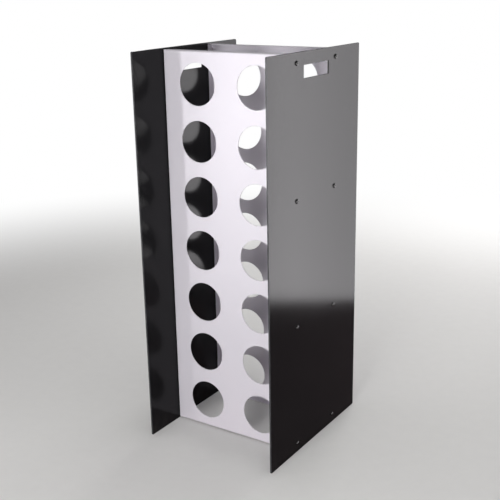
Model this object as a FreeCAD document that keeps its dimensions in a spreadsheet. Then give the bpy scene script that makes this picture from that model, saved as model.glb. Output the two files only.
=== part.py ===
import FreeCAD, Part
import math
import os
import Sketcher

# Free-standing wine rack of folded sheet steel.  Two flat black side panels
# stand on the floor.  Two silver bottle panels, folded into shallow trays and
# pierced with two columns of seven round holes, hang between them, one behind
# the other, so that each bottle lies in a front hole and the rear hole behind
# it.  Button-head screws go through the side panels into rivet nuts clinched
# in the side flanges of the bottle panels.
#
# Millimetres.  +Z up, +X to the right, the bottle necks point to -Y.  The
# origin is on the floor, midway between the side panels' faces and edges.

SIZES = [
    ("RackWidth", 300.0, "over the outer faces of the side panels"),
    ("RackDepth", 350.0, "front edge to rear edge of a side panel"),
    ("RackHeight", 800.0, "floor to the top edge of a side panel"),
    ("SideThickness", 3.0, "side panel sheet"),
    ("SideCornerRadius", 3.0, "outline corners of a side panel"),
    ("EdgeBreak", 0.4, "rounded paint edge on sheet outlines"),
    ("SlotLength", 95.0, "hand slot, front to rear"),
    ("SlotHeight", 24.0, "hand slot, bottom to top"),
    ("SlotCentreHeight", 763.5, "hand slot centre above the floor"),
    ("SlotCornerRadius", 1.2, "hand slot corners"),
    ("PanelSheet", 1.5, "bottle panel sheet"),
    ("PanelHeight", 794.0, "bottle panel over its top and bottom flanges"),
    ("PanelGap", 1.0, "bottle panel to side panel, the rivet nut's flange"),
    ("PanelInset", 93.0, "side panel edge to bottle panel face"),
    ("FlangeDepth", 15.0, "folded edge over the face"),
    ("BendRadius", 3.0, "outside radius of every fold"),
    ("SeamGap", 0.5, "open seam between two flanges at a corner"),
    ("HoleDiameter", 82.5, "bottle hole"),
    ("HoleSpread", 134.0, "between the two columns of bottle holes"),
    ("HolePitch", 111.5, "between two rows of bottle holes"),
    ("HoleRows", 7.0, "rows of bottle holes"),
    ("LowestHoleHeight", 64.5, "lowest bottle hole centre above the floor"),
    ("ScrewSetback", 8.0, "bottle panel face to screw axis"),
    ("ScrewSpacing", 254.0, "between two screws in a column"),
    ("ScrewRows", 4.0, "screws in a column"),
    ("ScrewClearance", 5.5, "hole in the side panel"),
    ("ThreadDiameter", 5.0, "screw shank and nut bore"),
    ("ShankLength", 10.0, "under the head"),
    ("ShankChamfer", 0.6, "tip of the shank"),
    ("HeadDiameter", 9.5, "button head"),
    ("HeadHeight", 2.75, "button head"),
    ("HeadRim", 0.35, "straight rim of the button head"),
    ("HeadFlat", 4.6, "flat on top of the button head"),
    ("DomeRadius", 5.2, "curve of the button head in section"),
    ("SocketFlats", 3.0, "hexagon socket across flats"),
    ("SocketDepth", 2.0, "hexagon socket"),
    ("NutFlange", 9.2, "rivet nut flange diameter"),
    ("NutBody", 7.0, "rivet nut body and its hole in the flange"),
    ("NutBulge", 9.4, "fold that clinches the rivet nut"),
    ("NutBulgeLength", 2.4, "clinched fold along the axis"),
    ("NutLength", 10.5, "rivet nut over everything"),
    ("NutChamfer", 0.5, "inner end of the rivet nut"),
]

SIDES = {"left": -1, "right": 1}
FACES = {"front": -1, "rear": 1}

# Largest error, in mm, at which an edge still counts as being in a place.
NEAR = 1e-4

# Screw axes, from the middle of the rack's depth and height.
SCREW_OFFSET = "(Sizes.RackDepth / 2 - Sizes.PanelInset - Sizes.ScrewSetback)"
SCREW_RUN = "(Sizes.ScrewSpacing * (Sizes.ScrewRows - 1))"
LOWEST_SCREW = f"(-{SCREW_RUN} / 2)"


def make_sheet(doc):
    """Spreadsheet with one driving dimension a row."""
    sheet = doc.addObject("Spreadsheet::Sheet", "Sizes")
    for row, (name, size, note) in enumerate(SIZES, start=1):
        sheet.set(f"A{row}", name)
        sheet.set(f"B{row}", str(size))
        sheet.set(f"C{row}", note)
        sheet.setAlias(f"B{row}", name)
    doc.recompute()
    return sheet


def origin_feature(body, role):
    """Origin plane or axis of a body, such as XY_Plane or Z_Axis."""
    return next(f for f in body.Origin.OriginFeatures if f.Role == role)


def new_body(doc, label):
    body = doc.addObject("PartDesign::Body", label)
    body.Label = label
    return body


def new_sketch(body, name, plane, lift=None):
    """Sketch on an origin plane, lifted along its normal by an expression."""
    sketch = body.newObject("Sketcher::SketchObject", f"{body.Name}_{name}")
    sketch.AttachmentSupport = [(origin_feature(body, plane), "")]
    sketch.MapMode = "FlatFace"
    if lift is not None:
        sketch.setExpression("AttachmentOffset.Base.z", lift)
    return sketch


def measure(sketch, kind, geometry, point, size):
    """Hold a point's X or Y distance from the origin to an expression."""
    if size == "0":
        axis = -2 if kind == "DistanceX" else -1
        sketch.addConstraint(Sketcher.Constraint("PointOnObject", geometry, point, axis))
        return
    number = sketch.evalExpression(size)
    index = sketch.addConstraint(Sketcher.Constraint(kind, -1, 1, geometry, point, number))
    sketch.setExpression(f"Constraints[{index}]", size)


def arc_middle(start, end, radius, side):
    """Middle of the arc from start to end that bulges to its left or right."""
    chord = end - start
    rise = radius - math.sqrt(radius ** 2 - chord.Length ** 2 / 4)
    left = FreeCAD.Vector(-chord.y, chord.x, 0).normalize()
    return (start + end) * 0.5 + left * (rise * side)


def outline(sketch, corners, arcs=None):
    """Closed outline through corners, each an (x, y) pair of expressions.

    arcs gives the sides that are arcs: side number, radius expression, and
    1 or -1 for a bulge to the left or the right of the way round."""
    arcs = arcs or {}
    points = [FreeCAD.Vector(*map(sketch.evalExpression, pair), 0) for pair in corners]
    first = sketch.GeometryCount
    ends = {}
    for side, start in enumerate(points):
        end = points[(side + 1) % len(points)]
        ends[side] = (1, 2)
        if side not in arcs:
            sketch.addGeometry(Part.LineSegment(start, end), False)
            continue
        radius, bulge = arcs[side]
        middle = arc_middle(start, end, sketch.evalExpression(radius), bulge)
        sketch.addGeometry(Part.Arc(start, middle, end), False)
        if bulge > 0:
            ends[side] = (2, 1)
        index = sketch.addConstraint(Sketcher.Constraint(
            "Radius", first + side, sketch.evalExpression(radius)))
        sketch.setExpression(f"Constraints[{index}]", radius)
    for side, (x, y) in enumerate(corners):
        before = (side - 1) % len(corners)
        sketch.addConstraint(Sketcher.Constraint(
            "Coincident", first + before, ends[before][1], first + side, ends[side][0]))
        measure(sketch, "DistanceX", first + side, ends[side][0], x)
        measure(sketch, "DistanceY", first + side, ends[side][0], y)


def box_outline(sketch, low_x, high_x, low_y, high_y):
    outline(sketch, [(low_x, low_y), (high_x, low_y), (high_x, high_y), (low_x, high_y)])


def circle(sketch, x, y, diameter):
    centre = FreeCAD.Vector(sketch.evalExpression(x), sketch.evalExpression(y), 0)
    size = sketch.evalExpression(diameter)
    index = sketch.addGeometry(Part.Circle(centre, FreeCAD.Vector(0, 0, 1), size / 2), False)
    bound = sketch.addConstraint(Sketcher.Constraint("Diameter", index, size))
    sketch.setExpression(f"Constraints[{bound}]", diameter)
    measure(sketch, "DistanceX", index, 3, x)
    measure(sketch, "DistanceY", index, 3, y)


def pad(body, sketch, length, reverse=False):
    feature = body.newObject("PartDesign::Pad", f"{sketch.Name}_pad")
    feature.Profile = sketch
    feature.setExpression("Length", length)
    feature.Reversed = reverse


def pocket(body, sketch, reverse=False, depth=None, both_ways=False):
    """Cut a sketch to a depth, or right through when no depth is given."""
    doc = body.Document
    doc.recompute()
    before = body.Shape.Volume
    feature = body.newObject("PartDesign::Pocket", f"{sketch.Name}_pocket")
    feature.Profile = sketch
    feature.Reversed = reverse
    feature.Type = "ThroughAll" if depth is None else "Length"
    if depth is not None:
        feature.setExpression("Length", depth)
    if both_ways:
        feature.SideType = "Symmetric"
    doc.recompute()
    if feature.Shape.Volume > before - NEAR:
        raise RuntimeError(f"{feature.Name} cuts nothing")
    return feature


def pattern(body, feature, role, length, count):
    """Repeat a feature along an origin axis of its body."""
    row = body.newObject("PartDesign::LinearPattern", f"{feature.Name}_row")
    row.Originals = [feature]
    row.Direction = (origin_feature(body, role), [""])
    row.setExpression("Length", length)
    row.setExpression("Occurrences", count)
    body.Tip = row
    body.Document.recompute()


def fillet(body, name, radius, chosen):
    """Round the edges of the body so far that the test chosen accepts."""
    body.Document.recompute()
    base = body.Tip
    names = [f"Edge{i}" for i, edge in enumerate(base.Shape.Edges, start=1) if chosen(edge)]
    if not names:
        raise RuntimeError(f"{body.Name} has no edge for {name}")
    feature = body.newObject("PartDesign::Fillet", f"{body.Name}_{name}")
    feature.Base = (base, names)
    feature.setExpression("Radius", radius)
    body.Tip = feature
    body.Document.recompute()


def lies_on(edge, axis, place):
    """Whether an edge lies in the plane where one coordinate is place."""
    box = edge.BoundBox
    low, high = getattr(box, f"{axis}Min"), getattr(box, f"{axis}Max")
    return abs(low - place) < NEAR and abs(high - place) < NEAR


def is_circle(edge, diameter):
    """Whether an edge is a circle of this diameter."""
    return (isinstance(edge.Curve, Part.Circle)
            and abs(2 * edge.Curve.Radius - diameter) < NEAR)


def runs_along_x(edge):
    """Whether an edge is straight and parallel to the X axis."""
    box = edge.BoundBox
    return box.XLength > NEAR and box.YLength < NEAR and box.ZLength < NEAR


def side_panel(doc, sheet, side, sign):
    """Flat laser-cut sheet with a hand slot and eight screw holes."""
    body = new_body(doc, f"{side}_side_panel")
    plate = new_sketch(body, "plate", "YZ_Plane")
    box_outline(plate, "-Sizes.RackDepth / 2", "Sizes.RackDepth / 2",
                "-Sizes.RackHeight / 2", "Sizes.RackHeight / 2")
    pad(body, plate, "Sizes.SideThickness")
    fillet(body, "corners", "Sizes.SideCornerRadius", runs_along_x)
    slot = new_sketch(body, "hand_slot", "YZ_Plane")
    centre = "Sizes.SlotCentreHeight - Sizes.RackHeight / 2"
    box_outline(slot, "-Sizes.SlotLength / 2", "Sizes.SlotLength / 2",
                f"{centre} - Sizes.SlotHeight / 2", f"{centre} + Sizes.SlotHeight / 2")
    pocket(body, slot, reverse=True)
    fillet(body, "slot_corners", "Sizes.SlotCornerRadius", lambda edge: (
        runs_along_x(edge) and abs(edge.BoundBox.YMin) < sheet.SlotLength / 2 + 1))
    fillet(body, "edge_break", "Sizes.EdgeBreak", lambda edge: (
        lies_on(edge, "X", 0) or lies_on(edge, "X", sheet.SideThickness)))
    holes = new_sketch(body, "screw_holes", "YZ_Plane")
    for direction in ("-", ""):
        circle(holes, direction + SCREW_OFFSET, LOWEST_SCREW, "Sizes.ScrewClearance")
    cut = pocket(body, holes, reverse=True)
    pattern(body, cut, "Z_Axis", SCREW_RUN, "Sizes.ScrewRows")
    body.setExpression("Placement.Base.x", (
        "-Sizes.RackWidth / 2" if sign < 0 else "Sizes.RackWidth / 2 - Sizes.SideThickness"))
    body.setExpression("Placement.Base.z", "Sizes.RackHeight / 2")
    return body


def bottle_panel(doc, sheet, face, sign):
    """Tray of folded sheet: a pierced face with a flange on all four sides."""
    body = new_body(doc, f"{face}_bottle_panel")
    half_width = "(Sizes.RackWidth / 2 - Sizes.SideThickness - Sizes.PanelGap)"
    half_height = "Sizes.PanelHeight / 2"
    blank = new_sketch(body, "blank", "XZ_Plane")
    box_outline(blank, f"-{half_width}", half_width, f"-{half_height}", half_height)
    pad(body, blank, "Sizes.FlangeDepth", reverse=True)
    fillet(body, "outer_bends", "Sizes.BendRadius", lambda edge: lies_on(edge, "Y", 0))
    hollow = new_sketch(body, "hollow", "XZ_Plane", "-Sizes.PanelSheet")
    inner_width = f"({half_width} - Sizes.PanelSheet)"
    inner_height = f"({half_height} - Sizes.PanelSheet)"
    box_outline(hollow, f"-{inner_width}", inner_width, f"-{inner_height}", inner_height)
    pocket(body, hollow)
    fillet(body, "inner_bends", "Sizes.BendRadius - Sizes.PanelSheet",
           lambda edge: lies_on(edge, "Y", sheet.PanelSheet))
    cut_corner_seams(body, half_width, inner_width, inner_height)
    holes = new_sketch(body, "bottle_holes", "XZ_Plane")
    for direction in ("-", ""):
        circle(holes, f"{direction}Sizes.HoleSpread / 2",
               "Sizes.LowestHoleHeight - Sizes.RackHeight / 2", "Sizes.HoleDiameter")
    cut = pocket(body, holes)
    pattern(body, cut, "Z_Axis", "Sizes.HolePitch * (Sizes.HoleRows - 1)", "Sizes.HoleRows")
    fillet(body, "edge_break", "Sizes.EdgeBreak", lambda edge: (
        is_circle(edge, sheet.HoleDiameter)))
    nuts = new_sketch(body, "nut_holes", "YZ_Plane")
    circle(nuts, "Sizes.ScrewSetback", LOWEST_SCREW, "Sizes.NutBody")
    cut = pocket(body, nuts, both_ways=True)
    pattern(body, cut, "Z_Axis", SCREW_RUN, "Sizes.ScrewRows")
    if sign > 0:
        body.Placement.Rotation = FreeCAD.Rotation(FreeCAD.Vector(0, 0, 1), 180)
    body.setExpression("Placement.Base.y", (
        f"{sign} * (Sizes.RackDepth / 2 - Sizes.PanelInset)"))
    body.setExpression("Placement.Base.z", "Sizes.RackHeight / 2")
    return body


def cut_corner_seams(body, half_width, inner_width, inner_height):
    """Part the side flanges from the top and bottom ones, beyond the bends."""
    seams = new_sketch(body, "corner_seams", "XZ_Plane", "-Sizes.BendRadius")
    gap_end = f"({inner_height} - Sizes.SeamGap)"
    past = f"({half_width} + Sizes.SeamGap)"
    for low_x, high_x in ((f"-{past}", f"-{inner_width}"), (inner_width, past)):
        box_outline(seams, low_x, high_x, gap_end, inner_height)
        box_outline(seams, low_x, high_x, f"-{inner_height}", f"-{gap_end}")
    pocket(body, seams)


def button_screw(doc, label):
    """M5 button-head screw, head towards -X, shank towards +X."""
    body = new_body(doc, label)
    profile = new_sketch(body, "profile", "XY_Plane")
    head, flat = "Sizes.HeadDiameter / 2", "Sizes.HeadFlat / 2"
    shank = "Sizes.ThreadDiameter / 2"
    outline(profile, [
        ("-Sizes.HeadHeight", "0"),
        ("-Sizes.HeadHeight", flat),
        ("-Sizes.HeadRim", head),
        ("0", head),
        ("0", shank),
        ("Sizes.ShankLength - Sizes.ShankChamfer", shank),
        ("Sizes.ShankLength", f"{shank} - Sizes.ShankChamfer"),
        ("Sizes.ShankLength", "0"),
    ], arcs={1: ("Sizes.DomeRadius", 1)})
    revolve(body, profile)
    socket = new_sketch(body, "socket", "YZ_Plane", "-Sizes.HeadHeight")
    hexagon(socket, "Sizes.SocketFlats")
    pocket(body, socket, reverse=True, depth="Sizes.SocketDepth")
    return body


def hexagon(sketch, flats):
    """Hexagon about the origin, given across its flats."""
    corner = f"{flats} / sqrt(3)"
    outline(sketch, [(f"{corner} * cos({angle} deg)", f"{corner} * sin({angle} deg)")
                     for angle in range(30, 390, 60)])


def rivet_nut(doc, label):
    """Clinched M5 rivet nut, flange against -X, body towards +X."""
    body = new_body(doc, label)
    profile = new_sketch(body, "profile", "XY_Plane")
    bore, outer = "Sizes.ThreadDiameter / 2", "Sizes.NutBody / 2"
    grip = "(Sizes.PanelGap + Sizes.PanelSheet)"
    outline(profile, [
        ("0", bore),
        ("0", "Sizes.NutFlange / 2"),
        ("Sizes.PanelGap", "Sizes.NutFlange / 2"),
        ("Sizes.PanelGap", outer),
        (grip, outer),
        (grip, "Sizes.NutBulge / 2 - Sizes.NutBulgeLength / 4"),
        (f"{grip} + Sizes.NutBulgeLength / 2", "Sizes.NutBulge / 2"),
        (f"{grip} + Sizes.NutBulgeLength", outer),
        ("Sizes.NutLength - Sizes.NutChamfer", outer),
        ("Sizes.NutLength", f"{outer} - Sizes.NutChamfer"),
        ("Sizes.NutLength", bore),
    ])
    revolve(body, profile)
    return body


def revolve(body, sketch):
    feature = body.newObject("PartDesign::Revolution", f"{sketch.Name}_turn")
    feature.Profile = sketch
    feature.ReferenceAxis = (sketch, ["H_Axis"])
    feature.Angle = 360
    body.Document.recompute()


def place_fastener(body, sign, plane, face_sign, row):
    """Put a fastener on its screw axis, its own +X pointing into the rack."""
    if sign > 0:
        body.Placement.Rotation = FreeCAD.Rotation(FreeCAD.Vector(0, 0, 1), 180)
    body.setExpression("Placement.Base.x", f"{sign} * ({plane})")
    body.setExpression("Placement.Base.y", f"{face_sign} * {SCREW_OFFSET}")
    body.setExpression("Placement.Base.z", (
        f"Sizes.RackHeight / 2 + {LOWEST_SCREW} + {row} * Sizes.ScrewSpacing"))


def build(doc):
    """Every piece of the rack, in the order it is put together."""
    sheet = make_sheet(doc)
    pieces = [side_panel(doc, sheet, side, sign) for side, sign in SIDES.items()]
    pieces += [bottle_panel(doc, sheet, face, sign) for face, sign in FACES.items()]
    for side, sign in SIDES.items():
        for face, face_sign in FACES.items():
            for row in range(int(sheet.ScrewRows)):
                place = f"{side}_{face}_{row + 1}"
                nut = rivet_nut(doc, f"rivet_nut_{place}")
                place_fastener(nut, sign, "Sizes.RackWidth / 2 - Sizes.SideThickness",
                               face_sign, row)
                screw = button_screw(doc, f"button_screw_{place}")
                place_fastener(screw, sign, "Sizes.RackWidth / 2", face_sign, row)
                pieces += [nut, screw]
    doc.recompute()
    return pieces


def check(doc, pieces):
    """Stop if an object failed or a piece is not one valid solid."""
    for item in doc.Objects:
        if {"Invalid", "Error"} & set(item.State):
            raise RuntimeError(f"{item.Label}: {item.State}")
    for piece in pieces:
        shape = piece.Shape
        if shape.isNull() or not shape.isValid() or len(shape.Solids) != 1:
            raise RuntimeError(f"{piece.Label} is not one valid solid")


def export(pieces):
    os.makedirs("parts", exist_ok=True)
    for piece in pieces:
        piece.Shape.exportStep(f"parts/{piece.Label}.step")


rack_doc = FreeCAD.newDocument("WineRack")
rack_pieces = build(rack_doc)
check(rack_doc, rack_pieces)
export(rack_pieces)
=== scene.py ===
import math

import bmesh
import bpy
from mathutils import Matrix, Vector
from mathutils.geometry import tessellate_polygon


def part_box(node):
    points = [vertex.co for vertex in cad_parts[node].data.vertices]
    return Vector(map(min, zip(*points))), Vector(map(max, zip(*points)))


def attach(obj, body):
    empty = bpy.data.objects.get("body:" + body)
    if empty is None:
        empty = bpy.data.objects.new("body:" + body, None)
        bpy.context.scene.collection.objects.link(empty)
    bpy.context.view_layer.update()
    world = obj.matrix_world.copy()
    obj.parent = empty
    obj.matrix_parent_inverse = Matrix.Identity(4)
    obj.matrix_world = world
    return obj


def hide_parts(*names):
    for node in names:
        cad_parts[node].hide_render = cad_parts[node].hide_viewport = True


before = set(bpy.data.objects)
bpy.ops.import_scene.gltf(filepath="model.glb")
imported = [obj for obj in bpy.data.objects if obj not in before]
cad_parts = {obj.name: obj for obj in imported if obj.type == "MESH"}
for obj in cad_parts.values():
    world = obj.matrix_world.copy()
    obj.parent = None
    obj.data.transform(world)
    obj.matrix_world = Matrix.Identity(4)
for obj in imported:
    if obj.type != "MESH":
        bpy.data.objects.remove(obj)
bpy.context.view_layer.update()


# ---- Side panels ----------------------------------------------------------
# Two flat sheets of 3 mm steel, laser cut with a hand slot near the top and
# eight screw holes, then powder coated black. They carry the whole rack and
# stand on their lower edges.

MM = 0.001
SIDE_CORNER = 3.0 * MM
SIDE_EDGE_ROUND = 0.4 * MM
SHEET_CREASE = 50
SLOT_LENGTH, SLOT_HEIGHT = 95 * MM, 24 * MM
SLOT_CENTRE_HEIGHT = 763.5 * MM
SLOT_CORNER = 1.2 * MM
SCREW_HOLE = 5.5 * MM
EDGE_WEAR_AND_HIGHLIGHT = (0.2 * MM, 1.6 * MM)
HANDLED_REACH = 45 * MM
DUST_HEIGHT = 60 * MM
DEEP_BLACK, WORN_BLACK = (0.0090, 0.0087, 0.0096, 1), (0.0125, 0.0122, 0.0131, 1)
# Lighter greys for the sheet's edges: a worn, thin coat, and also a painted highlight where light
# catches the edge.
WORN_AND_LIT_EDGE_GREY, RUBBED_AND_LIT_GREY = (0.08, 0.08, 0.085, 1), (0.12, 0.12, 0.125, 1)
DUST = (0.16, 0.145, 0.13, 1)
BLACK_RELIEF = 0.25 * MM
BLACK_IOR = 1.2

side_low, side_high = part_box("right_side_panel")
side_thickness = side_high.x - side_low.x
rack_depth, rack_height = side_high.y - side_low.y, side_high.z - side_low.z
screw_boxes = {name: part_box(name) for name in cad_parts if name.startswith("button_screw")}
screw_axes = sorted({(round((low.y + high.y) / 2, 5), round((low.z + high.z) / 2, 5))
                     for low, high in screw_boxes.values()})


def rounded_rectangle(half_a, half_b, radius, centre=(0, 0), steps=8):
    """Outline as a function of how far it is moved towards the solid."""
    def loop(inset):
        points = []
        for quarter in range(4):
            sign_a = 1 if quarter in (0, 3) else -1
            sign_b = 1 if quarter in (0, 1) else -1
            for step in range(steps + 1):
                angle = (quarter + step / steps) * math.pi / 2
                points.append((
                    centre[0] + sign_a * (half_a - radius) + (radius - inset) * math.cos(angle),
                    centre[1] + sign_b * (half_b - radius) + (radius - inset) * math.sin(angle)))
        return points
    return loop


def round_hole(radius, centre, steps=48):
    """Hole outline as a function of how far it is moved into the sheet."""
    return lambda inset: [(centre[0] + (radius + inset) * math.cos(2 * math.pi * i / steps),
                           centre[1] + (radius + inset) * math.sin(2 * math.pi * i / steps))
                          for i in range(steps)]


def edge_profile(thickness, rounding, steps=4):
    """(inset, depth) of each row of points over a sheet's rounded cut edge."""
    turns = [step / steps * math.pi / 2 for step in range(steps + 1)]
    near = [(rounding * (1 - math.sin(t)), rounding * (1 - math.cos(t))) for t in turns]
    return near + [(inset, thickness - depth) for inset, depth in reversed(near)]


def join_rows(bm, rows):
    """Quads between rows of points that each close on themselves."""
    for row, following in zip(rows, rows[1:]):
        for i in range(len(row)):
            j = (i + 1) % len(row)
            bm.faces.new((row[i], row[j], following[j], following[i]))


def mesh_object(bm, name, crease=SHEET_CREASE):
    """Object for a finished bmesh, smooth but for edges past crease degrees."""
    bmesh.ops.recalc_face_normals(bm, faces=bm.faces)
    mesh = bpy.data.meshes.new(name)
    bm.to_mesh(mesh)
    bm.free()
    mesh.shade_smooth()
    mesh.set_sharp_from_angle(angle=math.radians(crease))
    piece = bpy.data.objects.new(name, mesh)
    bpy.context.scene.collection.objects.link(piece)
    return piece


def bake(piece):
    """Turn the piece's modifiers into a plain mesh of its own."""
    graph = bpy.context.evaluated_depsgraph_get()
    mesh = bpy.data.meshes.new_from_object(piece.evaluated_get(graph))
    piece.modifiers.clear()
    piece.data = mesh
    mesh.name = piece.name
    return piece


def settle_normals(piece):
    """Let large flat faces keep their own normal beside a small rounding."""
    weighted = piece.modifiers.new("flat_faces_lead", "WEIGHTED_NORMAL")
    weighted.keep_sharp = True
    weighted.weight = 100
    return bake(piece)


def hand_in(piece, nodes):
    """The piece stands for its CAD nodes and moves with the rack."""
    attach(piece, "root")
    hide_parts(*nodes)


def side_panel(name):
    """Pierced flat sheet, both skins joined by the rounded cut edges."""
    low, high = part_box(name)
    middle = (high.z + low.z) / 2
    loops = [rounded_rectangle(rack_depth / 2, rack_height / 2, SIDE_CORNER, (0, middle))]
    slot = rounded_rectangle(SLOT_LENGTH / 2, SLOT_HEIGHT / 2, SLOT_CORNER, (0, SLOT_CENTRE_HEIGHT))
    loops.append(lambda inset: slot(-inset))
    loops += [round_hole(SCREW_HOLE / 2, axis) for axis in screw_axes]
    bm = bmesh.new()
    skins = ([], [])
    for loop in loops:
        rows = [[bm.verts.new((low.x + depth, *point)) for point in loop(inset)]
                for inset, depth in edge_profile(side_thickness, SIDE_EDGE_ROUND)]
        join_rows(bm, rows)
        skins[0].append(rows[0])
        skins[1].append(rows[-1])
    for skin in skins:
        corners = [corner for row in skin for corner in row]
        flat = [[Vector((corner.co.y, corner.co.z, 0)) for corner in row] for row in skin]
        for triangle in tessellate_polygon(flat):
            bm.faces.new([corners[i] for i in triangle])
    return settle_normals(mesh_object(bm, f"{name}_coated"))


class Wire:
    """A node's output. Maths on it adds Math nodes to its tree."""

    def __init__(self, socket):
        self.socket = socket
        self.tree = socket.id_data

    def node(self, kind, settings=None, inputs=None, output=0):
        """Add a node: its settings first, then its sockets' values or links."""
        new = self.tree.nodes.new(kind)
        for name, value in (settings or {}).items():
            setattr(new, name, value)
        for name, value in (inputs or {}).items():
            self.feed(new, name, value)
        return Wire(new.outputs[output]) if len(new.outputs) else None

    def feed(self, node, name, value):
        """Set or link the input with this name, identifier or number."""
        if isinstance(name, int):
            socket = node.inputs[name]
        else:
            socket = next(s for s in node.inputs if name in (s.identifier, s.name))
        for item in value if isinstance(value, list) else [value]:
            if isinstance(item, Wire):
                self.tree.links.new(item.socket, socket)
            else:
                socket.default_value = item

    def maths(self, operation, first, second):
        return self.node("ShaderNodeMath", {"operation": operation}, {0: first, 1: second})

    def __add__(self, other):
        return self.maths("ADD", self, other)

    def __sub__(self, other):
        return self.maths("SUBTRACT", self, other)

    def __rsub__(self, other):
        return self.maths("SUBTRACT", other, self)

    def __mul__(self, other):
        return self.maths("MULTIPLY", self, other)

    def __truediv__(self, other):
        return self.maths("DIVIDE", self, other)

    def __pow__(self, other):
        return self.maths("POWER", self, other)

    def __abs__(self):
        return self.maths("ABSOLUTE", self, 0)

    __radd__, __rmul__ = __add__, __mul__

    def least(self, other):
        return self.maths("MINIMUM", self, other)

    def most(self, other):
        return self.maths("MAXIMUM", self, other)

    def split(self):
        parts = self.node("ShaderNodeSeparateXYZ", None, {"Vector": self}).socket.node.outputs
        return [Wire(part) for part in parts]

    def fade(self, start, end):
        """0 before start, 1 past end, smooth between."""
        return self.node("ShaderNodeMapRange", {"interpolation_type": "SMOOTHSTEP"},
                         {"Value": self, "From Min": start, "From Max": end})

    def noise(self, scale, detail=2.0, roughness=0.5, stretch=(1, 1, 1)):
        """Noise of about scale lumps a metre, stretched along the axes."""
        place = self.node("ShaderNodeMapping", None, {"Vector": self, "Scale": stretch})
        return self.node("ShaderNodeTexNoise", None, {
            "Vector": place, "Scale": scale, "Detail": detail, "Roughness": roughness})

    def blend(self, first, second):
        """Colour between two, with this value as the share of the second."""
        return self.node("ShaderNodeMix", {"data_type": "RGBA"}, {
            "Factor_Float": self, "A_Color": first, "B_Color": second}, "Result")


def start_material(name):
    """New material and the place on the rack, in metres, as a Wire."""
    material = bpy.data.materials.new(name)
    material.use_nodes = True
    material.node_tree.nodes.clear()
    coordinates = material.node_tree.nodes.new("ShaderNodeTexCoord")
    return material, Wire(coordinates.outputs["Object"])


def close_material(place, height, relief, inputs):
    """Principled surface whose bump stands relief metres high."""
    bump = place.node("ShaderNodeBump", None, {"Height": height, "Distance": relief})
    surface = place.node("ShaderNodeBsdfPrincipled", None, {**inputs, "Normal": bump})
    place.node("ShaderNodeOutputMaterial", None, {"Surface": surface})


def black_powder_coat():
    """Glossy black with orange peel and handling haze; its edges are lightened partly by rubbed
    wear and partly as a painted highlight.
    """
    material, place = start_material("black_powder_coat")
    _, y, z = place.split()
    peel = place.noise(420, 2.0)
    sheet_waves = place.noise(5.0, 1.0)
    haze = place.noise(9.0, 4.0, 0.65)
    to_edge = (rack_depth / 2 - abs(y)).least(rack_height - z)
    # Band along the front, rear and top edges that is lightened below: partly edge wear, partly a
    # painted highlight of the lit edge.
    edge = 1 - to_edge.fade(*EDGE_WEAR_AND_HIGHLIGHT)
    rubbed = edge * place.noise(60, 3.0).fade(0.5, 0.75)
    from_slot = (abs(y) - SLOT_LENGTH / 2).most(abs(z - SLOT_CENTRE_HEIGHT) - SLOT_HEIGHT / 2)
    handled = (1 - from_slot.fade(0, HANDLED_REACH)) * place.noise(70, 4.0).fade(0.4, 0.7)
    dusty = (1 - z.fade(0, DUST_HEIGHT)) * place.noise(40, 5.0, 0.6).fade(0.3, 0.9)
    colour = haze.blend(DEEP_BLACK, WORN_BLACK)
    colour = (edge * 0.6).blend(colour, WORN_AND_LIT_EDGE_GREY)
    colour = (rubbed * 0.4).blend(colour, RUBBED_AND_LIT_GREY)
    colour = (dusty * 0.10).blend(colour, DUST)
    roughness = (0.125 + haze * 0.04 + handled * 0.04 + dusty * 0.06 + rubbed * 0.1
                 + place.noise(1500, 1.0) * 0.015)
    close_material(place, peel * 0.12 + sheet_waves, BLACK_RELIEF, {
        "Base Color": colour, "Metallic": edge * 0.12, "Roughness": roughness, "IOR": BLACK_IOR})
    return material


side_paint = black_powder_coat()
for side in ("left", "right"):
    node = f"{side}_side_panel"
    panel = side_panel(node)
    panel.data.materials.append(side_paint)
    hand_in(panel, [node])


# ---- Bottle panels --------------------------------------------------------
# Two trays of 1.5 mm sheet, pierced with two columns of seven bottle holes
# and folded inwards on all four sides, then coated in silver with a fine
# metallic flake. The side flanges carry the rivet nuts.

HOLE_DIAMETER = 82.5 * MM
HOLE_SPREAD = 134 * MM
HOLE_PITCH = 111.5 * MM
HOLE_COLUMNS, HOLE_ROWS = 2, 7
LOWEST_HOLE_HEIGHT = 64.5 * MM
PANEL_SHEET = 1.5 * MM
BEND_RADIUS = 3.0 * MM
BEND_STEPS = 8
HOLE_EDGE_ROUND = 0.4 * MM
FLANGE_EDGE_ROUND = 0.25 * MM
CELL_SIDE_STEPS = 20
NUT_HOLE = 7.0 * MM
SEAM_GAP = 0.5 * MM
WELD_DISTANCE = 0.005 * MM
CUTTER_STEPS = 40
LIP_WEAR = (0.1 * MM, 2.2 * MM)
LOWER_ARC = (-0.95, -0.45)
DARK_SILVER, BRIGHT_SILVER = (0.665, 0.634, 0.69, 1), (0.785, 0.75, 0.805, 1)
SLID_SILVER = (0.44, 0.43, 0.44, 1)
SILVER_METALLIC = 0.45
SILVER_RELIEF = 0.012 * MM

panel_low, panel_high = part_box("front_bottle_panel")
panel_depth = panel_high.y - panel_low.y
panel_half_width = (panel_high.x - panel_low.x) / 2
panel_half_height = (panel_high.z - panel_low.z) / 2
panel_middle = (panel_high.z + panel_low.z) / 2
holes_middle = LOWEST_HOLE_HEIGHT + HOLE_PITCH * (HOLE_ROWS - 1) / 2
row_count = len({z for _, z in screw_axes})
column_gap = max(y for y, _ in screw_axes) - min(y for y, _ in screw_axes)
screw_low, screw_high = min(z for _, z in screw_axes), max(z for _, z in screw_axes)
screw_setback = -panel_low.y - column_gap / 2


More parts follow.
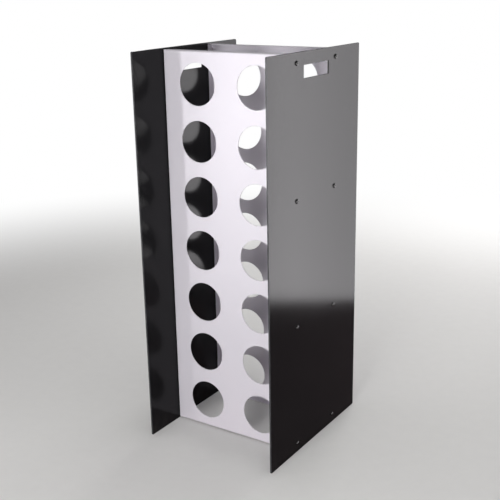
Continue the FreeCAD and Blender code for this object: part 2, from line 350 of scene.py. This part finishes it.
def box_walk(half_a, half_b, steps_a, steps_b, middle=0.0):
    """Points round a rectangle, evenly spaced along each of its sides."""
    right = [(half_a, half_b * (2 * i / steps_b - 1)) for i in range(steps_b)]
    top = [(half_a * (1 - 2 * i / steps_a), half_b) for i in range(steps_a)]
    left = [(-half_a, half_b * (1 - 2 * i / steps_b)) for i in range(steps_b)]
    bottom = [(half_a * (2 * i / steps_a - 1), -half_b) for i in range(steps_a)]
    return [(a, b + middle) for a, b in right + top + left + bottom]


def hole_cell():
    """One bottle hole in the middle of a rectangle of sheet, two skins."""
    bm = bmesh.new()
    border = box_walk(HOLE_SPREAD / 2, HOLE_PITCH / 2, CELL_SIDE_STEPS, CELL_SIDE_STEPS)
    count = len(border)
    turns = [2 * math.pi * (i / count - 0.125) for i in range(count)]
    rows = [[bm.verts.new((a, 0, b)) for a, b in border]]
    for inset, depth in edge_profile(PANEL_SHEET, HOLE_EDGE_ROUND):
        radius = HOLE_DIAMETER / 2 + inset
        rows.append([bm.verts.new((radius * math.cos(t), depth, radius * math.sin(t)))
                     for t in turns])
    rows.append([bm.verts.new((a, PANEL_SHEET, b)) for a, b in border])
    join_rows(bm, rows)
    return mesh_object(bm, "hole_cell")


def tray_rim():
    """All of a bottle panel outside its hole cells: margin, bends, flanges."""
    inner_radius = BEND_RADIUS - PANEL_SHEET
    turns = [i / BEND_STEPS * math.pi / 2 for i in range(BEND_STEPS + 1)]
    outer = [(BEND_RADIUS * math.sin(t), BEND_RADIUS * (1 - math.cos(t))) for t in turns]
    inner = [(inner_radius * math.sin(t), BEND_RADIUS - inner_radius * math.cos(t)) for t in turns]
    rim = [(BEND_RADIUS - depth, panel_depth - inset)
           for inset, depth in edge_profile(PANEL_SHEET, FLANGE_EDGE_ROUND, 2)]
    steps_a, steps_b = HOLE_COLUMNS * CELL_SIDE_STEPS, HOLE_ROWS * CELL_SIDE_STEPS
    flat_a, flat_b = panel_half_width - BEND_RADIUS, panel_half_height - BEND_RADIUS
    bm = bmesh.new()
    cells = box_walk(HOLE_SPREAD * HOLE_COLUMNS / 2, HOLE_PITCH * HOLE_ROWS / 2,
                     steps_a, steps_b, holes_middle - panel_middle)
    rows = [[bm.verts.new((a, 0, b)) for a, b in cells]]
    for reach, depth in outer + rim + inner[::-1]:
        walk = box_walk(flat_a + reach, flat_b + reach, steps_a, steps_b)
        rows.append([bm.verts.new((a, depth, b)) for a, b in walk])
    rows.append([bm.verts.new((a, PANEL_SHEET, b)) for a, b in cells])
    join_rows(bm, rows)
    return mesh_object(bm, "tray_rim")


def start_tree(name, inputs):
    """Geometry tree, its inputs as Wires by name, and their identifiers."""
    tree = bpy.data.node_groups.new(name, "GeometryNodeTree")
    add = tree.interface.new_socket
    add("Geometry", in_out="INPUT", socket_type="NodeSocketGeometry")
    add("Geometry", in_out="OUTPUT", socket_type="NodeSocketGeometry")
    keys = {label: add(label, in_out="INPUT", socket_type=f"NodeSocket{kind}").identifier
            for label, kind in inputs.items()}
    source = tree.nodes.new("NodeGroupInput")
    wires = {output.name: Wire(output) for output in source.outputs if output.name}
    return tree, wires, keys


def end_tree(geometry, material):
    """Realize and weld the instances, give them their material, end the tree."""
    solid = geometry.node("GeometryNodeRealizeInstances", None, {"Geometry": geometry})
    welded = solid.node("GeometryNodeMergeByDistance", None, {
        "Geometry": solid, "Distance": WELD_DISTANCE})
    coated = solid.node("GeometryNodeSetMaterial", None, {
        "Geometry": welded, "Material": material})
    coated.node("NodeGroupOutput", None, {"Geometry": coated})


def triple(x, y, z):
    """Vector from three numbers or Wires, one of them at least a Wire."""
    wire = next(item for item in (x, y, z) if isinstance(item, Wire))
    return wire.node("ShaderNodeCombineXYZ", None, {"X": x, "Y": y, "Z": z})


def pierced_tray_tree():
    """Hole cells in rows and columns, welded into the folded rim."""
    tree, given, keys = start_tree("pierced_tray", {
        "Hole Cell": "Object", "Columns": "Int", "Rows": "Int",
        "Column Spread": "Float", "Row Pitch": "Float", "Middle": "Float",
        "Material": "Material"})
    rim = given["Geometry"]
    cell = rim.node("GeometryNodeObjectInfo", None, {"Object": given["Hole Cell"]}, "Geometry")
    centres = rim.node("GeometryNodeMeshGrid", None, {
        "Size X": given["Column Spread"] * (given["Columns"] - 1),
        "Size Y": given["Row Pitch"] * (given["Rows"] - 1),
        "Vertices X": given["Columns"], "Vertices Y": given["Rows"]})
    upright = centres.node("GeometryNodeTransform", None, {
        "Geometry": centres, "Translation": triple(0.0, 0.0, given["Middle"]),
        "Rotation": (math.pi / 2, 0, 0)})
    cells = upright.node("GeometryNodeInstanceOnPoints", None, {
        "Points": upright, "Instance": cell})
    joined = cells.node("GeometryNodeJoinGeometry", None, {"Geometry": [rim, cells]})
    end_tree(joined, given["Material"])
    return tree, keys


def run_tree(piece, tree, keys, values):
    """Evaluate a tree on a piece with these inputs, as a plain mesh."""
    modifier = piece.modifiers.new(tree.name, "NODES")
    modifier.node_group = tree
    for label, value in values.items():
        modifier[keys[label]] = value
    return bake(piece)


def cutters():
    """Closed solids where the nut holes and the open corner seams go."""
    bm = bmesh.new()
    for row in range(row_count):
        height = screw_low + row * (screw_high - screw_low) / (row_count - 1) - panel_middle
        for sign in (-1, 1):
            centre = (sign * (panel_half_width - BEND_RADIUS), screw_setback, height)
            place = Matrix.Translation(centre) @ Matrix.Rotation(math.pi / 2, 4, "Y")
            bmesh.ops.create_cone(bm, cap_ends=True, segments=CUTTER_STEPS, radius1=NUT_HOLE / 2,
                                  radius2=NUT_HOLE / 2, depth=3 * BEND_RADIUS, matrix=place)
    seam_height = panel_half_height - PANEL_SHEET - SEAM_GAP / 2
    for sign_a in (-1, 1):
        for sign_b in (-1, 1):
            centre = (sign_a * (panel_half_width + SEAM_GAP - PANEL_SHEET / 2),
                      BEND_RADIUS + panel_depth / 2, sign_b * seam_height)
            size = Matrix.Diagonal((PANEL_SHEET + 2 * SEAM_GAP, panel_depth, SEAM_GAP, 1))
            bmesh.ops.create_cube(bm, size=1, matrix=Matrix.Translation(centre) @ size)
    return mesh_object(bm, "nut_holes_and_seams")


def silver_flake_coat():
    """Satin silver with fine flake, rubbed where the bottles slide."""
    material, place = start_material("silver_flake_coat")
    x, _, z = place.split()
    flake = place.noise(2600, 1.0)
    peel = place.noise(520, 2.0)
    cloud = place.noise(6.0, 3.0, 0.6)
    column = abs(abs(x) - HOLE_SPREAD / 2)
    from_lowest = (z - LOWEST_HOLE_HEIGHT + HOLE_PITCH / 2) / HOLE_PITCH
    whole = from_lowest.node("ShaderNodeMath", {"operation": "FRACT"}, {0: from_lowest})
    above = (whole - 0.5) * HOLE_PITCH
    reach = (column * column + above * above) ** 0.5 - HOLE_DIAMETER / 2
    lip = 1 - reach.fade(*LIP_WEAR)
    below = 1 - (above / (HOLE_DIAMETER / 2)).fade(*LOWER_ARC)
    slid = lip * below * place.noise(260, 3.0, 0.6, (1, 0.2, 1)).fade(0.38, 0.62)
    grain = cloud * 0.5 + flake * 0.5
    colour = grain.blend(DARK_SILVER, BRIGHT_SILVER)
    colour = (slid * 0.55).blend(colour, SLID_SILVER)
    roughness = 0.42 + cloud * 0.06 + flake * 0.06 - slid * 0.1
    close_material(place, peel * 0.35 + flake * 0.25, SILVER_RELIEF, {
        "Base Color": colour, "Metallic": SILVER_METALLIC, "Roughness": roughness})
    return material


panel_paint = silver_flake_coat()
cell_shape, cutter_shape = hole_cell(), cutters()
tray_tree, tray_keys = pierced_tray_tree()
for face, turn in (("front", 0.0), ("rear", math.pi)):
    node = f"{face}_bottle_panel"
    tray = tray_rim()
    tray.name = f"{node}_coated"
    run_tree(tray, tray_tree, tray_keys, {
        "Hole Cell": cell_shape, "Columns": HOLE_COLUMNS, "Rows": HOLE_ROWS,
        "Column Spread": HOLE_SPREAD, "Row Pitch": HOLE_PITCH,
        "Middle": holes_middle - panel_middle, "Material": panel_paint})
    cut = tray.modifiers.new("nut_holes_and_seams", "BOOLEAN")
    cut.object = cutter_shape
    cut.solver = "EXACT"
    bake(tray)
    seat = Vector((0, panel_low.y, panel_middle))
    tray.data.transform(Matrix.Rotation(turn, 4, "Z") @ Matrix.Translation(seat))
    tray.data.set_sharp_from_angle(angle=math.radians(SHEET_CREASE))
    settle_normals(tray)
    hand_in(tray, [node])
for helper in (cell_shape, cutter_shape):
    bpy.data.objects.remove(helper)


# ---- Rivet nuts -----------------------------------------------------------
# M5 steel rivet nuts, zinc plated, one behind each screw. Pulled tight, the
# thin wall folds out behind the flange and clinches the sheet, and the nut's
# own 1 mm flange keeps the silver panel clear of the black one.

NUT_FLANGE = 9.2 * MM
NUT_FLANGE_THICKNESS = 1.0 * MM
NUT_BODY = 7.0 * MM
NUT_BULGE = 9.4 * MM
NUT_BULGE_LENGTH = 2.4 * MM
NUT_BULGE_STEPS = 12
NUT_BULGE_FULLNESS = 0.6
NUT_BORE = 5.0 * MM
NUT_CHAMFER = 0.5 * MM
NUT_EASE = 0.15 * MM
TURN_STEPS = 48
TURNED_CREASE = 35
ZINC_BLUE, ZINC_YELLOW = (0.56, 0.58, 0.62, 1), (0.70, 0.68, 0.60, 1)
ZINC_RELIEF = 0.01 * MM

nut_low, nut_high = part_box("rivet_nut_right_front_1")
nut_length = nut_high.x - nut_low.x


def turned(profile, name):
    """Lathe a closed (along, radius) profile about the X axis."""
    bm = bmesh.new()
    rows = []
    for along, radius in profile + profile[:1]:
        rows.append([bm.verts.new((along, radius * math.cos(turn), radius * math.sin(turn)))
                     for turn in (2 * math.pi * i / TURN_STEPS for i in range(TURN_STEPS))])
    join_rows(bm, rows)
    bmesh.ops.remove_doubles(bm, verts=bm.verts, dist=WELD_DISTANCE)
    return mesh_object(bm, name, TURNED_CREASE)


def rivet_nut():
    """Flange, clinched fold and threaded body, from outside to inside."""
    grip = NUT_FLANGE_THICKNESS + PANEL_SHEET
    body, fold = NUT_BODY / 2, (NUT_BULGE - NUT_BODY) / 2
    flange, bore = NUT_FLANGE / 2, NUT_BORE / 2
    shares = [i / NUT_BULGE_STEPS for i in range(1, NUT_BULGE_STEPS)]
    bulge = [(grip + NUT_BULGE_LENGTH * share,
              body + fold * math.sin(math.pi * share) ** NUT_BULGE_FULLNESS) for share in shares]
    profile = [
        (0, bore + NUT_EASE), (0, flange - NUT_EASE), (NUT_EASE, flange),
        (NUT_FLANGE_THICKNESS - NUT_EASE, flange),
        (NUT_FLANGE_THICKNESS, flange - NUT_EASE), (NUT_FLANGE_THICKNESS, body),
        (grip, body), *bulge, (grip + NUT_BULGE_LENGTH, body),
        (nut_length - NUT_CHAMFER, body), (nut_length, body - NUT_CHAMFER),
        (nut_length, bore + NUT_EASE), (nut_length - NUT_EASE, bore), (NUT_EASE, bore)]
    return turned(profile, "rivet_nut_shape")


def fastener_tree():
    """A fastener on every screw axis, on both sides, each at its own angle."""
    tree, given, keys = start_tree("fasteners_on_both_sides", {
        "Fastener": "Object", "Rows": "Int", "Row Run": "Float", "Column Gap": "Float",
        "Across": "Float", "Middle": "Float", "Seed": "Int", "Material": "Material"})
    source = given["Fastener"]
    shape = source.node("GeometryNodeObjectInfo", None, {"Object": source}, "Geometry")
    grid = source.node("GeometryNodeMeshGrid", None, {
        "Size X": given["Column Gap"], "Size Y": given["Row Run"],
        "Vertices X": 2, "Vertices Y": given["Rows"]})
    sides = []
    for sign, turn in ((-1, 0.0), (1, math.pi)):
        seats = grid.node("GeometryNodeTransform", None, {
            "Geometry": grid, "Rotation": (math.pi / 2, 0, math.pi / 2),
            "Translation": triple(given["Across"] * (sign / 2), 0.0, given["Middle"])})
        spin = grid.node("FunctionNodeRandomValue", {"data_type": "FLOAT"}, {
            "Max_001": 2 * math.pi, "Seed": given["Seed"] + sign}, 1)
        sides.append(seats.node("GeometryNodeInstanceOnPoints", None, {
            "Points": seats, "Instance": shape, "Rotation": triple(spin, 0.0, turn)}))
    joined = grid.node("GeometryNodeJoinGeometry", None, {"Geometry": sides})
    end_tree(joined, given["Material"])
    return tree, keys


def place_fasteners(name, shape, across, seed, material):
    """Plain mesh with the shape on all the screw axes."""
    mesh = bpy.data.meshes.new(name)
    group = bpy.data.objects.new(name, mesh)
    bpy.context.scene.collection.objects.link(group)
    run_tree(group, fasteners, fastener_keys, {
        "Fastener": shape, "Rows": row_count, "Row Run": screw_high - screw_low,
        "Column Gap": column_gap, "Across": across, "Middle": (screw_high + screw_low) / 2,
        "Seed": seed, "Material": material})
    bpy.data.objects.remove(shape)
    return group


def zinc_plate():
    """Bright zinc with a faint passivation tint and turning marks."""
    material, place = start_material("zinc_plate")
    marks = place.noise(900, 2.0, 0.5, (6, 1, 1))
    tint = place.noise(180, 2.0)
    colour = tint.blend(ZINC_BLUE, ZINC_YELLOW)
    close_material(place, marks, ZINC_RELIEF, {
        "Base Color": colour, "Metallic": 1.0, "Roughness": 0.26 + marks * 0.16})
    return material


fasteners, fastener_keys = fastener_tree()
nuts = place_fasteners("rivet_nuts", rivet_nut(), across=2 * nut_high.x, seed=3,
                       material=zinc_plate())
hand_in(nuts, [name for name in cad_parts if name.startswith("rivet_nut")])


# ---- Button-head screws ---------------------------------------------------
# M5 x 10 button-head screws with a 3 mm hexagon socket, black oxide, through
# the side panels into the rivet nuts: four rows of two on each side.

HEAD_RIM = 0.35 * MM
HEAD_FLAT = 4.6 * MM
HEAD_EASE = 0.1 * MM
DOME_ARC = math.pi / 2 * 0.86
DOME_FULLNESS = 1.25
SOCKET_FLATS = 3.0 * MM
SOCKET_DEPTH = 1.9 * MM
SOCKET_CHAMFER = 0.18 * MM
SOCKET_TIP = 0.5 * MM
SHANK_DIAMETER = 4.96 * MM
SHANK_CHAMFER = 0.6 * MM
DOME_STEPS = 10
OXIDE_DARK, OXIDE_LIGHT = (0.05, 0.05, 0.053, 1), (0.08, 0.078, 0.076, 1)
OXIDE_RELIEF = 0.006 * MM

one_low, one_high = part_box("button_screw_right_front_1")
head_height = one_high.x - side_high.x
head_diameter = one_high.z - one_low.z
shank_length = side_high.x - one_low.x


def hexagon_reach(turn, flats):
    """Distance from the middle of a hexagon to its side at an angle."""
    within = turn % (math.pi / 3) - math.pi / 6
    return flats / 2 / math.cos(within)


def button_screw():
    """Head outwards along -X: dome, flat, hexagon socket; shank along +X."""
    rim_radius = head_diameter / 2
    dome = []
    for step in range(DOME_STEPS + 1):
        share = step / DOME_STEPS
        curve = math.sin(share * DOME_ARC) / math.sin(DOME_ARC)
        dome.append((-HEAD_RIM - (head_height - HEAD_RIM) * curve,
                     rim_radius - (rim_radius - HEAD_FLAT / 2) * share ** DOME_FULLNESS))
    shank = SHANK_DIAMETER / 2
    outside = [(shank_length, shank - SHANK_CHAMFER), (shank_length - SHANK_CHAMFER, shank),
               (0, shank), (0, rim_radius - HEAD_EASE), (-HEAD_EASE, rim_radius), *dome]
    turns = [2 * math.pi * i / TURN_STEPS for i in range(TURN_STEPS)]
    bm = bmesh.new()

    def ring(along, reach):
        return [bm.verts.new((along, reach(t) * math.cos(t), reach(t) * math.sin(t)))
                for t in turns]

    rows = [ring(along, lambda t, r=radius: r) for along, radius in outside]
    floor = SOCKET_DEPTH - head_height
    for along, flats in ((-head_height, SOCKET_FLATS + 2 * SOCKET_CHAMFER),
                         (SOCKET_CHAMFER - head_height, SOCKET_FLATS),
                         (floor, SOCKET_FLATS)):
        rows.append(ring(along, lambda t, f=flats: hexagon_reach(t, f)))
    join_rows(bm, rows)
    bm.faces.new(rows[0])
    tip = bm.verts.new((floor + SOCKET_TIP, 0, 0))
    last = rows[-1]
    for i in range(TURN_STEPS):
        bm.faces.new((last[i], last[(i + 1) % TURN_STEPS], tip))
    return mesh_object(bm, "button_screw_shape", TURNED_CREASE)


def black_oxide():
    """Oiled black oxide steel, slightly mottled."""
    material, place = start_material("black_oxide")
    mottle = place.noise(320, 3.0)
    colour = mottle.blend(OXIDE_DARK, OXIDE_LIGHT)
    close_material(place, place.noise(2400, 2.0), OXIDE_RELIEF, {
        "Base Color": colour, "Metallic": 1.0, "Roughness": 0.18 + mottle * 0.12})
    return material


screws = place_fasteners("button_screws", button_screw(), across=2 * side_high.x, seed=11,
                         material=black_oxide())
hand_in(screws, list(screw_boxes))


# ---- Studio ---------------------------------------------------------------
# A pale floor that fades into a white backdrop, under soft lights in front,
# behind and above. Plain cards and a darker mat, which only glossy rays
# meet, give the paint, the silver and the screws something to mirror.

FLOOR_RADIUS = 3.2
FLOOR_FADE = (1.1, 2.3)
FLOOR_LIFT = 0.1 * MM
FLOOR_GLOW = 0.05
PALE_GREY = ((0.66, 0.65, 0.64, 1), (0.70, 0.69, 0.68, 1))
MAT_REACH = 0.897
MAT_TURN = math.radians(33.4)
MAT_BROWN = ((0.19, 0.145, 0.155, 1), (0.27, 0.21, 0.22, 1))
BACKDROP_RADIUS = 12.0
CARD_LEVEL, CARD_HEIGHT = -0.2, 2.8
WIDE_CARD_TINT = (1.0, 0.975, 1.0, 1)
WIDE_CARD_DIM, WIDE_CARD_GAIN, WIDE_CARD_RISE = 3.3, 5.5, (1.36, 1.90)
RIGHT_CARD_RADIANCE = 4.0
LEFT_CARD_DIM, LEFT_CARD_GAIN, LEFT_CARD_RISE = 1.2, 2.8, (-2.4, -1.4)
STRIP_PLACE, STRIP_SIZE, STRIP_RADIANCE = (-1.02, -2.05, 0.55), (0.12, 1.1), 20.0
SHEEN_PLACE, SHEEN_SIZE, SHEEN_RADIANCE = (-0.75, -1.05, 1 * MM), (1.5, 1.5), 0.4
SHEEN_START, SHEEN_END = 0.4, 1.8
FILL_STRENGTH = 0.06


def start_glow(name, tint=(1, 1, 1, 1)):
    """New glowing material, and a function that sets its radiance."""
    material, place = start_material(name)

    def finish(radiance):
        glow = place.node("ShaderNodeEmission", None, {"Color": tint, "Strength": radiance})
        place.node("ShaderNodeOutputMaterial", None, {"Surface": glow})
        return material

    return place, finish


def stage_piece(bm, name, material, seen_by):
    """Stage object that only these kinds of ray meet."""
    piece = mesh_object(bm, name)
    piece.data.materials.append(material)
    for ray in ("camera", "diffuse", "glossy", "transmission", "shadow", "volume_scatter"):
        setattr(piece, f"visible_{ray}", ray in seen_by)


def disc(radius, height):
    bm = bmesh.new()
    bmesh.ops.create_circle(bm, cap_ends=True, radius=radius, segments=128,
                            matrix=Matrix.Translation((0, 0, height)))
    return bm


def card(name, centre, target, size, material):
    """Flat rectangle facing a target, met by glossy rays only."""
    way = Vector(target) - Vector(centre)
    turn = way.to_track_quat("Z", "Y").to_matrix().to_4x4()
    bm = bmesh.new()
    bmesh.ops.create_grid(bm, x_segments=1, y_segments=1, size=0.5, matrix=(
        Matrix.Translation(centre) @ turn @ Matrix.Diagonal((*size, 1, 1))))
    stage_piece(bm, name, material, ("glossy",))


def pale_floor():
    """Matt pale grey that turns into plain white light towards its edge."""
    material, place = start_material("pale_floor")
    x, y, _ = place.split()
    away = (x * x + y * y) ** 0.5
    grain = place.noise(35, 4.0, 0.6)
    matt = place.node("ShaderNodeBsdfDiffuse", None, {"Color": grain.blend(*PALE_GREY)})
    glow = place.node("ShaderNodeEmission", None, {"Color": (1, 1, 1, 1), "Strength": 1.0})
    surface = place.node("ShaderNodeMixShader", None, {
        0: FLOOR_GLOW + away.fade(*FLOOR_FADE) * (1 - FLOOR_GLOW), 1: matt, 2: glow})
    place.node("ShaderNodeOutputMaterial", None, {"Surface": surface})
    return material


def dark_mat():
    """Brownish floor covering, for the glossy paint to mirror."""
    material, place = start_material("dark_mat")
    colour = place.noise(6.0, 3.0).blend(*MAT_BROWN)
    surface = place.node("ShaderNodeBsdfDiffuse", None, {"Color": colour})
    place.node("ShaderNodeOutputMaterial", None, {"Surface": surface})
    return material


stage_piece(disc(FLOOR_RADIUS, 0), "floor", pale_floor(), ("camera", "diffuse", "shadow"))

mat = bmesh.new()
bmesh.ops.create_grid(mat, x_segments=1, y_segments=1, size=MAT_REACH, matrix=(
    Matrix.Rotation(-MAT_TURN, 4, "Z") @ Matrix.Translation((0, 0, FLOOR_LIFT))))
stage_piece(mat, "mirrored_mat", dark_mat(), ("glossy",))

_, finish = start_glow("white_backdrop")
dome = bmesh.new()
bmesh.ops.create_icosphere(dome, subdivisions=4, radius=BACKDROP_RADIUS)
stage_piece(dome, "backdrop", finish(1.0), ("camera",))

# Upright cards reach below the floor: the mat hides their lower part, and
# their light starts where the mat ends.
place, finish = start_glow("wide_card_light", WIDE_CARD_TINT)
x, _, _ = place.split()
card("wide_card_right_rear", (0.66, 3.15, CARD_LEVEL), (-0.80, 0.53, CARD_LEVEL),
     (2.96, CARD_HEIGHT), finish(x.fade(*WIDE_CARD_RISE) * WIDE_CARD_GAIN + WIDE_CARD_DIM))

_, finish = start_glow("right_card_light")
card("side_card_right", (2.6, 0.0, CARD_LEVEL), (0, 0.0, CARD_LEVEL),
     (5.6, CARD_HEIGHT), finish(RIGHT_CARD_RADIANCE))

place, finish = start_glow("left_card_light")
_, y, _ = place.split()
card("side_card_left", (-2.6, -0.2, CARD_LEVEL), (0, -0.2, CARD_LEVEL),
     (6.0, CARD_HEIGHT), finish(y.fade(*LEFT_CARD_RISE) * LEFT_CARD_GAIN + LEFT_CARD_DIM))

_, finish = start_glow("strip_light")
card("strip_front_left", STRIP_PLACE, (0, 0, STRIP_PLACE[2]), STRIP_SIZE, finish(STRIP_RADIANCE))

place, finish = start_glow("floor_sheen")
x, y, _ = place.split()
sheen = (x * x + y * y).fade(SHEEN_START ** 2, SHEEN_END ** 2)
card("sheen_front_left", SHEEN_PLACE, (*SHEEN_PLACE[:2], 1.0), SHEEN_SIZE,
     finish(SHEEN_RADIANCE * sheen))

world = bpy.data.worlds.new("soft_fill")
world.use_nodes = True
world.node_tree.nodes["Background"].inputs["Color"].default_value = (1, 1, 1, 1)
world.node_tree.nodes["Background"].inputs["Strength"].default_value = FILL_STRENGTH
bpy.context.scene.world = world
bpy.context.scene.view_settings.view_transform = "Standard"


def soft_light(name, place, target, size, radiance):
    """Rectangular light whose face has this radiance, hidden from the lens."""
    light = bpy.data.lights.new(name, "AREA")
    light.shape = "RECTANGLE"
    light.size, light.size_y = size
    light.energy = radiance * math.pi * size[0] * size[1]
    lamp = bpy.data.objects.new(name, light)
    lamp.location = place
    lamp.rotation_euler = (Vector(target) - Vector(place)).to_track_quat("-Z", "Y").to_euler()
    lamp.visible_camera = False
    lamp.visible_glossy = False
    bpy.context.scene.collection.objects.link(lamp)


soft_light("key_front", (0.3, -2.3, 0.47), (0, 0, 0.4), size=(1.2, 0.9), radiance=18.0)
soft_light("rear", (0.0, 2.4, 1.2), (0, 0, 0.4), size=(1.6, 1.2), radiance=7.5)
soft_light("top", (0.3, -0.2, 2.6), (0, 0, 0), size=(2.4, 2.4), radiance=1.6)


# ---- Camera ---------------------------------------------------------------
# In front and to the right, a little above the rack's top, looking down.

CAMERA_PLACE = Vector((0.964, -1.4696, 0.9357))
CAMERA_AZIMUTH, CAMERA_DROP, CAMERA_ROLL = map(math.radians, (33.42, 17.29, -1.06))
FOCAL_LENGTH, SENSOR = 63.98, 36.0

along = Vector((-math.sin(CAMERA_AZIMUTH) * math.cos(CAMERA_DROP),
                math.cos(CAMERA_AZIMUTH) * math.cos(CAMERA_DROP), -math.sin(CAMERA_DROP)))
level = Vector((math.cos(CAMERA_AZIMUTH), math.sin(CAMERA_AZIMUTH), 0))
upward = level.cross(along)
tilted = math.cos(CAMERA_ROLL) * level + math.sin(CAMERA_ROLL) * upward
lens = bpy.data.cameras.new("camera")
lens.lens, lens.sensor_width = FOCAL_LENGTH, SENSOR
camera = bpy.data.objects.new("camera", lens)
camera.matrix_world = Matrix.Translation(CAMERA_PLACE) @ Matrix(
    (tilted, tilted.cross(along), -along)).transposed().to_4x4()
bpy.context.scene.collection.objects.link(camera)
bpy.context.scene.camera = camera
